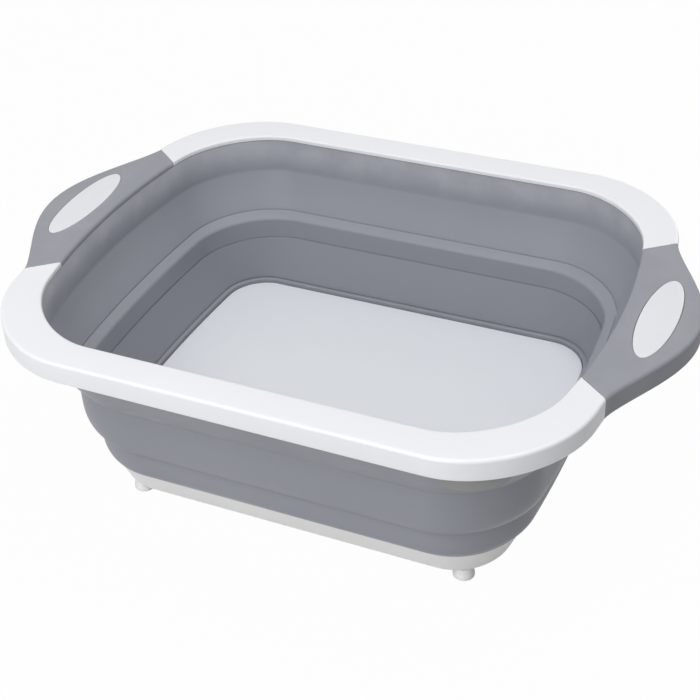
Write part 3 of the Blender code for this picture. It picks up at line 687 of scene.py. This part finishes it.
# %% Plans of the grips and of the room that they need
SKIRT_WALL = 0.0025
grip_low, grip_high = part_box("grip_right")
GRIP_HALF_SPAN = (grip_high.y - grip_low.y) / 2
GRIP_MIDDLE = (grip_high.y + grip_low.y) / 2
SLANT = 0.0126
GRIP_REACH = 0.0240
ROUND_POWER = 1.35
PLAN_STEPS = 56
CROSSING_STEPS = 4
OVERRUN = 0.0040
SIDES = (("right", 1), ("left", -1))
split_inner = GRIP_HALF_SPAN - SLANT
room_near = OPENING.half_length - OPENING.bow - OVERRUN
room_far = RIM.half_length + OVERRUN


def side_x(outline, y):
    """How far out the short side of an outline lies at this y."""
    return outline.half_length - outline.bow * (y / outline.half_width) ** 2


def spread(half_span, steps):
    """Even places from one end of a span to the other."""
    return [half_span * (2 * step / steps - 1) for step in range(steps + 1)]


def along_grip(half_span, steps):
    """Even places over this half span on either side of a grip's middle."""
    return [GRIP_MIDDLE + place for place in spread(half_span, steps)]


def grip_edge_x(y):
    """How far out the grip's rounded edge lies at this y."""
    swell = max(math.cos(math.pi / 2 * (y - GRIP_MIDDLE) / GRIP_HALF_SPAN), 0)
    return side_x(RIM, y) + GRIP_REACH * swell**ROUND_POWER


def mirrored(points, side):
    """The plan of a piece on the right (side 1), or the same on the left (side -1)."""
    return [(side * x, y) for x, y in points]


def grip_plan(side):
    """Along the opening's edge, then out and round the grip's edge."""
    inner = [(side_x(OPENING, y), y) for y in along_grip(split_inner, PLAN_STEPS // 2)]
    outer = [(grip_edge_x(y), y) for y in along_grip(GRIP_HALF_SPAN, PLAN_STEPS)]
    return mirrored(inner + outer[::-1], side)


def split_y(end, x):
    """Where the rim ends beside a grip at this x: in front of it (end -1) or behind it (end 1)."""
    inner_y, outer_y = GRIP_MIDDLE + end * split_inner, GRIP_MIDDLE + end * GRIP_HALF_SPAN
    inner_x = side_x(OPENING, inner_y)
    slope = (outer_y - inner_y) / (side_x(RIM, outer_y) - inner_x)
    return inner_y + slope * (x - inner_x) + end * GAP


def grip_room(side):
    """The part of the rim that a grip takes the place of."""
    corners = ((room_near, -1), (room_far, -1), (room_far, 1), (room_near, 1))
    return mirrored([(x, split_y(end, x)) for x, end in corners], side)


def skirt_inner_x(y):
    """How far out a hair inside the skirt lies at this y."""
    return side_x(RIM, y) - SKIRT_WALL - GAP


def skirt_split_y(end):
    """Where the slanted line meets the inside of the skirt, found in a few steps."""
    y = GRIP_MIDDLE + end * GRIP_HALF_SPAN
    for _ in range(CROSSING_STEPS):
        y = split_y(end, skirt_inner_x(y))
    return y


def skirt_room(side):
    """The stretch of the skirt that a grip takes the place of."""
    front, back = skirt_split_y(-1), skirt_split_y(1)
    ys = [place + (back + front) / 2 for place in spread((back - front) / 2, PLAN_STEPS // 2)]
    inner = [(skirt_inner_x(y), y) for y in ys]
    outer = [(room_far, split_y(end, room_far)) for end in (1, -1)]
    return mirrored(inner + outer, side)


print("a grip is %.0f mm wide and reaches %.0f mm out" % (2 * MM * GRIP_HALF_SPAN, MM * GRIP_REACH))

# %% Make the rim
SKIRT_DEPTH = 0.0116
PLATE = 0.0028
COLLAR_DEPTH = 0.0095
collar_inner = grown(OPENING, WALL + GAP)
collar_outer = grown(collar_inner, WALL)
skirt_inner = grown(RIM, -SKIRT_WALL)
plate_z = rim_top - PLATE
skirt_z = rim_top - SKIRT_DEPTH
rim = mesh_object(
    "rim_channel",
    ring_mesh(
        [
            Knot(RIM, skirt_z, round=0.0007),
            Knot(RIM, rim_top, round=0.0019),
            Knot(OPENING, rim_top, round=0.0013),
            Knot(OPENING, plate_z, round=0.0003),
            Knot(collar_inner, plate_z, round=0),
            Knot(collar_inner, rim_top - COLLAR_DEPTH, round=0.0004),
            Knot(collar_outer, rim_top - COLLAR_DEPTH, round=0.0004),
            Knot(collar_outer, plate_z, round=0.0006),
            Knot(skirt_inner, plate_z, round=0.0006),
            Knot(skirt_inner, skirt_z, round=0.0005),
        ]
    ),
)
rooms = [extruded_mesh(grip_room(side), plate_z - GAP, rim_top + OVERRUN) for _, side in SIDES]
rooms += [extruded_mesh(skirt_room(side), skirt_z - OVERRUN, rim_top + OVERRUN) for _, side in SIDES]
cut_away(rim, rooms)
dress(rim, rim_white, "rim", "rim_frame")

# %% [markdown]
# ## The grips and their ovals
#
# A grip is a thick rubber cover over the end of the rim, flush with the rim's top, with a rounded edge
# to hold. Its plan is extruded and its long edges bevelled. Then the space inside the rim's skirt is
# cut away below, and a window on top takes the white oval, which stands a hair proud. As in the
# photograph, both grips lie a little behind the middle of the short sides.

# %% Make the grips
EDGE_ROUND = 0.0019
INNER_ROUND = 0.0017
UNDER_ROUND = 0.0016
ROUND_SEGMENTS = 5
NEAR = MERGE * 20
OVAL_HALF_WIDTH = 0.0098
OVAL_ROUND = 0.0006
oval_low, oval_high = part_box("grip_inlay_right")
oval_x = (oval_low.x + oval_high.x) / 2
oval_half_length = (oval_high.y - oval_low.y) / 2


def round_edges(bm, z, width, keep):
    """Bevels the edges at one height for which keep(middle of the edge) holds."""
    edges = []
    for edge in bm.edges:
        middle = (edge.verts[0].co + edge.verts[1].co) / 2
        if all(abs(vert.co.z - z) < MERGE for vert in edge.verts) and keep(middle):
            edges.append(edge)
    bmesh.ops.bevel(
        bm, geom=edges, offset=width, segments=ROUND_SEGMENTS,
        profile=0.5, affect="EDGES", material=-1,
    )


def on_grip_edge(middle):
    """Whether an edge with this middle lies on the grip's rounded outside."""
    return abs(middle.x) > grip_edge_x(middle.y) - NEAR


def on_opening(middle):
    """Whether an edge with this middle lies on the tub's opening."""
    return abs(middle.x) < side_x(OPENING, middle.y) + NEAR


def oval_mesh(side, half_width, half_length, bottom, top):
    """An upright oval disc in a grip."""
    bm = bmesh.new()
    bmesh.ops.create_circle(bm, cap_ends=True, segments=SPIN_STEPS, radius=1)
    bmesh.ops.scale(bm, vec=(half_width, half_length, 1), verts=bm.verts)
    bmesh.ops.translate(bm, vec=(side * oval_x, GRIP_MIDDLE, bottom), verts=bm.verts)
    draw_out(bm, (0, 0, top - bottom))
    return bm


for name, side in SIDES:
    bm = extruded_mesh(grip_plan(side), grip_low.z, rim_top)
    round_edges(bm, rim_top, EDGE_ROUND, on_grip_edge)
    round_edges(bm, grip_low.z, UNDER_ROUND, on_grip_edge)
    round_edges(bm, rim_top, INNER_ROUND, on_opening)
    grip = mesh_object("grip_cover_" + name, bm)
    ys = along_grip(GRIP_HALF_SPAN + OVERRUN, PLAN_STEPS // 2)
    under = [(side_x(RIM, y) - SKIRT_WALL, y) for y in ys]
    under = mirrored([(room_near, ys[0])] + under + [(room_near, ys[-1])], side)
    under = extruded_mesh(under, grip_low.z - OVERRUN, plate_z)
    window = oval_mesh(side, OVAL_HALF_WIDTH, oval_half_length + GAP, plate_z + GAP, rim_top + OVERRUN)
    cut_away(grip, [under, window])
    dress(grip, grip_grey, "rim", "grip_" + name)

# %% Make the ovals
for name, side in SIDES:
    bm = oval_mesh(side, OVAL_HALF_WIDTH - GAP, oval_half_length, plate_z + GAP, oval_high.z)
    round_edges(bm, oval_high.z, OVAL_ROUND, lambda middle: True)
    oval = mesh_object("grip_oval_" + name, bm)
    dress(oval, oval_white, "rim", "grip_inlay_" + name)

# %% [markdown]
# ## The stacking pad
#
# Just inside the skirt, in the front right corner, a crescent hangs below the rim. It is drawn as a row
# of small upright rectangles along the corner's arc, deepest in the middle, and the rectangles are
# bridged.

# %% Make the pad
PAD_ANGLE = math.radians(23.5)
PAD_HALF_ANGLE = math.radians(20)
PAD_DROP = 0.0088
PAD_SEAT = 0.0026
PAD_WALL = 0.0042
PAD_ROUND = 0.0007
PAD_ROUND_SEGMENTS = 3
PAD_STEPS = 32
pad_outline = grown(RIM, -SKIRT_WALL - GAP)


def pad_rectangle(bm, share):
    """One upright rectangle of the pad, at a share from -1 to 1 of its arc."""
    angle = PAD_ANGLE + PAD_HALF_ANGLE * share
    top = skirt_z + PAD_SEAT
    bottom = skirt_z - PAD_DROP * math.sqrt(1 - share**2)
    corners = []
    for inwards, z in ((0, top), (PAD_WALL, top), (PAD_WALL, bottom), (0, bottom)):
        radius = pad_outline.corner - inwards
        y = pad_outline.half_width - pad_outline.corner + radius * math.cos(angle)
        x = pad_outline.half_length - pad_outline.corner + radius * math.sin(angle)
        corners.append(bm.verts.new((bowed(x, y, pad_outline), -y, z)))
    return bm.faces.new(corners)


bm = bmesh.new()
faces = [pad_rectangle(bm, share) for share in spread(1, PAD_STEPS)]
loops = [list(face.edges) for face in faces]
bmesh.ops.delete(bm, geom=faces[1:-1], context="FACES_ONLY")
for first, second in zip(loops, loops[1:]):
    bmesh.ops.bridge_loops(bm, edges=first + second)
bmesh.ops.recalc_face_normals(bm, faces=bm.faces)
pad = mesh_object("pad_front_right", bm)
soften = pad.modifiers.new("soft_edges", "BEVEL")
soften.width = PAD_ROUND
soften.segments = PAD_ROUND_SEGMENTS
# The pad's dark grey finish is painted shade.
dress(pad, pad_shade_finish, "rim", "stacking_pad_front_right")

# %% [markdown]
# ## The board, the base and the feet
#
# The board is a slab with a softened top edge and a recess for the drain's flange. The base is a
# shallow tray whose side leans in below the rubber, and its lower edge is round. Four feet plug into
# it.

# %% Make the board
board_low, board_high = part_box("cutting_board")
drain_low, drain_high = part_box("drain_fitting")
drain_place = (drain_low + drain_high) / 2
drain_place.z = 0
FLANGE = (drain_high.x - drain_low.x) / 2
FLANGE_THICKNESS = 0.0012
BORE_RADIUS = 0.0145
TUBE_WALL = 0.0025
TUBE_RADIUS = BORE_RADIUS + TUBE_WALL
BOARD_MARGIN = 0.0040

board = mesh_object(
    "board_slab",
    slab_mesh(
        [
            Knot(BOARD, board_low.z, round=0),
            Knot(BOARD, board_high.z, round=0.0010),
            Knot(grown(BOARD, -BOARD_MARGIN), board_high.z, round=0),
        ]
    ),
)
recess_z = board_high.z - FLANGE_THICKNESS - GAP
recess = spun_mesh(
    [
        (0, board_high.z + OVERRUN),
        (FLANGE + GAP, board_high.z + OVERRUN),
        (FLANGE + GAP, recess_z),
        (TUBE_RADIUS + GAP, recess_z),
        (TUBE_RADIUS + GAP, board_low.z - OVERRUN),
        (0, board_low.z - OVERRUN),
    ],
    drain_place,
)
cut_away(board, [recess])
dress(board, board_white, "base", "cutting_board")

# %% Make the base tray
tray_low, tray_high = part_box("base_tray")
TRAY_WALL = 0.0030
TRAY_MARGIN = 0.0060
collar_seat = collar_low.z - GAP
tray = mesh_object(
    "base_shell",
    slab_mesh(
        [
            Knot(grown(BASE_BOTTOM, -TRAY_MARGIN), tray_low.z, round=0),
            Knot(BASE_BOTTOM, tray_low.z, round=0.0032),
            Knot(BASE_TOP, collar_seat, round=0.0005),
            Knot(BOARD, collar_seat, round=0),
            Knot(BOARD, tray_high.z, round=0),
            Knot(grown(BOARD, -TRAY_WALL), tray_high.z, round=0),
            Knot(grown(BASE_BOTTOM, -TRAY_WALL), tray_low.z + TRAY_WALL, round=0),
        ]
    ),
)
hole_radius = TUBE_RADIUS + GAP
hole_top, hole_bottom = tray_low.z + 2 * TRAY_WALL, tray_low.z - OVERRUN
hole = [(0, hole_top), (hole_radius, hole_top), (hole_radius, hole_bottom), (0, hole_bottom)]
cut_away(tray, [spun_mesh(hole, drain_place)])
dress(tray, base_white, "base", "base_tray")

# %% Make the feet
NECK_SHARE = 0.86
FLARE_SHARE, FLARE_HEIGHT, FLARE_ROUND = 0.90, 0.55, 0.0009
HEEL_HEIGHT, HEEL_ROUND, SOLE_ROUND = 0.30, 0.0008, 0.0009
neck = tray_low.z - GAP
for name in ("front_right", "back_right", "back_left", "front_left"):
    low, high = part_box("foot_" + name)
    place = (low + high) / 2
    place.z = 0
    radius = (high.x - low.x) / 2
    profile = rounded_profile(
        [
            (radius * NECK_SHARE, neck, 0),
            (radius * FLARE_SHARE, neck * FLARE_HEIGHT, FLARE_ROUND),
            (radius, neck * HEEL_HEIGHT, HEEL_ROUND),
            (radius, low.z, SOLE_ROUND),
        ]
    )
    foot = mesh_object("foot_peg_" + name, spun_mesh([(0, neck)] + profile + [(0, low.z)], place))
    dress(foot, base_white, "base", "foot_" + name)

# %% [markdown]
# ## The drain and its plug
#
# The photograph hides the drain's corner, but such a tub has one. The fitting is a tube with a flange
# that lies flush in the board, and a soft plug with a tab closes it.

# %% Make the drain fitting
DRAIN_ROUND = 0.0005
flange_z = board_high.z - FLANGE_THICKNESS
profile = rounded_profile(
    [
        (BORE_RADIUS, board_high.z, DRAIN_ROUND),
        (FLANGE, board_high.z, DRAIN_ROUND),
        (FLANGE, flange_z, 0),
        (TUBE_RADIUS, flange_z, 0),
        (TUBE_RADIUS, tray_low.z, DRAIN_ROUND),
        (BORE_RADIUS, tray_low.z, DRAIN_ROUND),
    ]
)
fitting = mesh_object("drain_ring", spun_mesh(profile + profile[:1], drain_place))
dress(fitting, base_white, "base", "drain_fitting")

# %% Make the plug
plug_low, plug_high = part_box("drain_plug")
HEAD_THICKNESS = 0.0022
HEAD_ROUND, BRIM_ROUND, SEAT_ROUND, TIP_ROUND = 0.0010, 0.0004, 0.0003, 0.0010
PLUG_TAPER = 0.0014
TAB_WALL = 0.0030
TAB_LENGTH = 0.0150
TAB_STEPS = 40
head_z = board_high.z + GAP
head_top = head_z + HEAD_THICKNESS
head_radius = (plug_high.x - plug_low.x) / 2
body_radius = BORE_RADIUS - GAP
profile = rounded_profile(
    [
        (head_radius, head_top, HEAD_ROUND),
        (head_radius, head_z, BRIM_ROUND),
        (body_radius, head_z, SEAT_ROUND),
        (body_radius - PLUG_TAPER, plug_low.z, TIP_ROUND),
    ]
)
bm = spun_mesh([(0, head_top)] + profile + [(0, plug_low.z)], drain_place)
plug = mesh_object("plug_body", bm)

# %% Join the tab to it
bm = bmesh.new()
bmesh.ops.create_circle(bm, cap_ends=True, segments=TAB_STEPS, radius=TAB_LENGTH / 2)
bmesh.ops.rotate(bm, cent=(0, 0, 0), matrix=Matrix.Rotation(math.pi / 2, 3, "X"), verts=bm.verts)
tab_middle = plug_high.z - TAB_LENGTH / 2
for vert in bm.verts:
    vert.co.z = max(vert.co.z, head_z + HEAD_THICKNESS / 2 - tab_middle)
draw_out(bm, (0, TAB_WALL, 0))
tab_place = (drain_place.x, drain_place.y - TAB_WALL / 2, tab_middle)
bmesh.ops.translate(bm, vec=tab_place, verts=bm.verts)
tab = mesh_object("plug_tab", bm)
add_boolean(plug, tab, "UNION")
apply_modifiers(plug)
bpy.data.objects.remove(tab)
dress(plug, plug_grey, "plug", "drain_plug")

# %% [markdown]
# ## The studio
#
# The photograph has a plain white background. The floor is a pale sheet that takes the tub's shadow.
# Camera, glossy and transmission rays also see some plain white in it, so that it reads as white while
# the shadow stays, and the world does the same. Four soft panels light the tub: the key above and to
# the front left, a low one in front that reaches under the rim, one overhead for the rim and the
# board, and a weak one behind. The sky is brighter overhead than at the horizon, which leaves upright
# sides a little darker than flat tops.

# %% Lay the floor
FLOOR_GREY = 0.45
FLOOR_ROUGHNESS = 0.9
FLOOR_LIFT = 0.98
FLOOR_REACH = 6


def seen_directly(tree):
    """1 for rays from the camera and for reflected or transmitted rays, and 0 for the light itself."""
    path = tree.nodes.new("ShaderNodeLightPath")
    seen = path.outputs["Is Camera Ray"]
    for ray in ("Is Glossy Ray", "Is Transmission Ray"):
        either = tree.nodes.new("ShaderNodeMath")
        either.operation = "MAXIMUM"
        tree.links.new(seen, either.inputs[0])
        tree.links.new(path.outputs[ray], either.inputs[1])
        seen = either.outputs["Value"]
    return seen


floor_paint = bpy.data.materials.new("studio_floor")
floor_paint.use_nodes = True
tree = floor_paint.node_tree
paint = tree.nodes["Principled BSDF"]
paint.inputs["Base Color"].default_value = (FLOOR_GREY, FLOOR_GREY, FLOOR_GREY, 1)
paint.inputs["Roughness"].default_value = FLOOR_ROUGHNESS
paint.inputs["Specular IOR Level"].default_value = 0
lift = tree.nodes.new("ShaderNodeEmission")
lift.inputs["Color"].default_value = (1, 1, 1, 1)
share = tree.nodes.new("ShaderNodeMath")
share.operation = "MULTIPLY"
share.inputs[1].default_value = FLOOR_LIFT
tree.links.new(seen_directly(tree), share.inputs[0])
blend_in = tree.nodes.new("ShaderNodeMixShader")
tree.links.new(share.outputs["Value"], blend_in.inputs["Fac"])
tree.links.new(paint.outputs["BSDF"], blend_in.inputs[1])
tree.links.new(lift.outputs["Emission"], blend_in.inputs[2])
tree.links.new(blend_in.outputs["Shader"], tree.nodes["Material Output"].inputs["Surface"])

bm = bmesh.new()
bmesh.ops.create_grid(bm, x_segments=1, y_segments=1, size=FLOOR_REACH)
floor = mesh_object("floor", bm)
floor.data.materials.append(floor_paint)
print("the floor is %d m wide" % (2 * FLOOR_REACH))

# %% Light the studio
SKY_TOP = 0.50
SKY_HORIZON = 0.10
LIT_POINT = Vector((0, 0, 0.06))
world = bpy.data.worlds.new("studio")
world.use_nodes = True
bpy.context.scene.world = world
tree = world.node_tree
even = tree.nodes["Background"]
even.inputs["Color"].default_value = (1, 1, 1, 1)
height = tree.nodes.new("ShaderNodeSeparateXYZ")
tree.links.new(tree.nodes.new("ShaderNodeTexCoord").outputs["Generated"], height.inputs["Vector"])
fade = tree.nodes.new("ShaderNodeMapRange")
fade.inputs["To Min"].default_value = SKY_HORIZON
fade.inputs["To Max"].default_value = SKY_TOP
tree.links.new(height.outputs["Z"], fade.inputs["Value"])
tree.links.new(fade.outputs["Result"], even.inputs["Strength"])
white = tree.nodes.new("ShaderNodeBackground")
white.inputs["Color"].default_value = (1, 1, 1, 1)
white.inputs["Strength"].default_value = 1
choose = tree.nodes.new("ShaderNodeMixShader")
tree.links.new(seen_directly(tree), choose.inputs["Fac"])
tree.links.new(even.outputs["Background"], choose.inputs[1])
tree.links.new(white.outputs["Background"], choose.inputs[2])
tree.links.new(choose.outputs["Shader"], tree.nodes["World Output"].inputs["Surface"])


def add_panel(name, place, width, watts):
    """A square soft light that faces the tub's middle."""
    data = bpy.data.lights.new(name, "AREA")
    data.size = width
    data.energy = watts
    panel = bpy.data.objects.new(name, data)
    bpy.context.scene.collection.objects.link(panel)
    panel.location = place
    panel.rotation_euler = (LIT_POINT - Vector(place)).to_track_quat("-Z", "Y").to_euler()


add_panel("key_light", (-0.22, -0.80, 1.15), width=0.8, watts=6.8)
add_panel("front_light", (-0.10, -1.30, 0.32), width=0.6, watts=6.0)
add_panel("top_light", (0.20, 0.25, 1.45), width=0.7, watts=6.2)
add_panel("back_light", (0.45, 1.20, 0.45), width=0.6, watts=2.2)
print("lights:", [light.name for light in bpy.data.lights])
